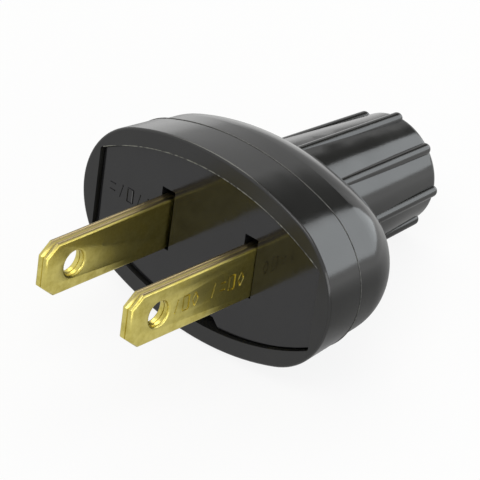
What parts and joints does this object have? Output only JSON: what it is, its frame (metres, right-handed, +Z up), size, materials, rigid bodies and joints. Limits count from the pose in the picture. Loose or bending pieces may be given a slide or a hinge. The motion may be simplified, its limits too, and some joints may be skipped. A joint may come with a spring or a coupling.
{
  "type": "electrical plug",
  "caption": "Straight mains plug with parallel folded brass blades, an oval domed flange with a recessed cover plate, and a ribbed round handle bored for a cord.",
  "frame": {"origin": "middle of the bounding box's base, on the table that the plug lies on", "axes": "+Z up; +X across the two blades; +Y towards the cord end, so the blades point to -Y. The plug's own axis is tilted about X by 8.49 degrees, blade tips up, because it rests on the shoulder of its flange and on its lowest grip rib"},
  "size_m": [0.0372, 0.051, 0.023],
  "materials": {
    "body_plastic": "moulded gloss",
    "plate_plastic": "polished gloss",
    "blade_brass": "rolled, lightly rubbed",
    "screw_brass": "turned",
    "nut_steel": "zinc plated"
  },
  "bodies": {
    "root": {"body": "body_plastic", "cover_plate": "plate_plastic", "blade_left": "blade_brass", "blade_right": "blade_brass", "terminal_screw_left": "screw_brass", "terminal_screw_right": "screw_brass", "terminal_nut_left": "nut_steel", "terminal_nut_right": "nut_steel"}
  },
  "joints": []
}
